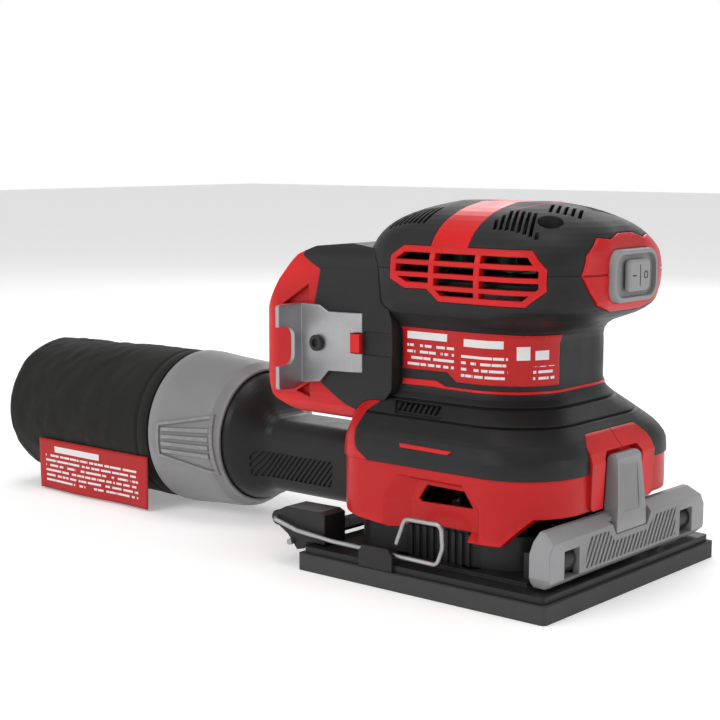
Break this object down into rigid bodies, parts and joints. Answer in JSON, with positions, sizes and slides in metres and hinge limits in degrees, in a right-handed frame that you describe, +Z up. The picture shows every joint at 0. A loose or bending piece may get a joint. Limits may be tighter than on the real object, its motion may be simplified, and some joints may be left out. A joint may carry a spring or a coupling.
{
  "type": "orbital sander",
  "caption": "Cordless palm finishing sander with a square pad, paper clamps front and rear, a head with a rocker switch, a battery socket and a slide-off dust bag.",
  "frame": {"origin": "centre of the sanding pad's lower face, on the motor axis", "axes": "+X towards the switch and front paper clamp, +Y to the tool's left, +Z up along the motor shaft"},
  "size_m": [0.3013, 0.11, 0.1288],
  "materials": {
    "red_plastic": "moulded red plastic, satin",
    "black_grip": "soft black overmoulding, matte",
    "black_plastic": "moulded black plastic, fine texture",
    "grey_plastic": "moulded grey plastic, satin",
    "grey_rubber": "grey rubber, matte",
    "steel": "plated steel",
    "black_steel": "black coated steel",
    "cast_black": "black coated die casting",
    "pad_foam": "dense pad, matte",
    "black_rubber": "black rubber",
    "armature_steel": "stacked laminations",
    "magnet": "ferrite",
    "copper": "copper",
    "board_green": "circuit board",
    "fabric_black": "black woven dust cloth",
    "tag_red": "red coated tag cloth",
    "lead_red": "lead insulation",
    "label_red": "printed label film, plain"
  },
  "bodies": {
    "housing": {"housing_right": "red_plastic", "housing_left": "red_plastic", "grip_right": "black_grip", "grip_left": "black_grip", "head_cap": "black_grip", "vent_saddle": "red_plastic", "switch_bezel": "red_plastic", "switch_boot": "grey_rubber", "switch_module": "black_plastic", "control_board": "board_green", "head_frame": "black_plastic", "motor_can": "steel", "motor_magnets": "magnet", "carbon_brushes": "magnet", "brush_holders": "copper", "upper_bearing": "steel", "lower_bearing": "steel", "bearing_plate": "cast_black", "fan_baffle": "black_plastic", "battery_housing": "red_plastic", "battery_grip": "black_grip", "terminal_block": "black_plastic", "terminal_blades": "copper", "battery_leads": "lead_red", "hang_hook": "steel", "hook_screw": "black_steel", "housing_screws": "black_steel", "cap_screws": "black_steel", "dust_port": "red_plastic", "rating_label": "label_red", "accent_stripes": "red_plastic"},
    "rotor": {"rotor_shaft": "steel", "armature": "armature_steel", "commutator": "copper", "cooling_fan": "black_plastic", "eccentric": "cast_black", "journal_screw": "black_steel"},
    "platen_body": {"platen": "cast_black", "platen_pad": "pad_foam", "platen_posts": "black_rubber", "platen_screws": "black_steel", "dust_skirt": "black_plastic", "orbit_bearing": "steel", "front_clamp_drums": "black_plastic"},
    "front_clamp": {"front_clamp_lever": "grey_plastic"},
    "rear_jaw": {"rear_clamp_jaw": "cast_black", "rear_clamp_rod": "steel"},
    "rear_wire": {"rear_clamp_wire": "steel"},
    "rocker": {"switch_rocker": "grey_rubber"},
    "spout": {"dust_spout": "black_plastic"},
    "dust_bag": {"bag_collar": "grey_plastic", "bag_cloth": "fabric_black", "bag_end_plate": "black_plastic", "bag_tag": "tag_red"}
  },
  "joints": [
    {"name": "rotor_spin", "type": "hinge", "parent": "housing", "child": "rotor", "pos_m": [0, 0, 0.06], "axis": [0, 0, 1], "continuous": true},
    {"name": "platen_orbit", "type": "hinge", "parent": "rotor", "child": "platen_body", "pos_m": [0.0008, 0, 0.012], "axis": [0, 0, 1], "continuous": true},
    {"name": "front_clamp_swing", "type": "hinge", "parent": "platen_body", "child": "front_clamp", "pos_m": [0.0445, 0, 0.0165], "axis": [0, 1, 0], "range_deg": [0, 55]},
    {"name": "rear_jaw_tilt", "type": "hinge", "parent": "platen_body", "child": "rear_jaw", "pos_m": [-0.059, 0, 0.008], "axis": [0, -1, 0], "range_deg": [0, 4]},
    {"name": "rear_wire_lift", "type": "hinge", "parent": "rear_jaw", "child": "rear_wire", "pos_m": [-0.066, 0, 0.0156], "axis": [0, -1, 0], "range_deg": [0, 60]},
    {"name": "rocker_tilt", "type": "hinge", "parent": "housing", "child": "rocker", "pos_m": [0.044, 0, 0.106], "axis": [0, 0, 1], "range_deg": [-6, 6]},
    {"name": "spout_slide", "type": "slide", "parent": "housing", "child": "spout", "axis": [-1, 0, 0], "range_m": [0, 0.025]},
    {"name": "bag_slide", "type": "slide", "parent": "spout", "child": "dust_bag", "axis": [-1, 0, 0], "range_m": [0, 0.02]}
  ],
  "couplings": [
    {"joint": "platen_orbit", "follows": "rotor_spin", "ratio": -1},
    {"joint": "rear_jaw_tilt", "follows": "rear_wire_lift", "ratio": 0.066667}
  ]
}
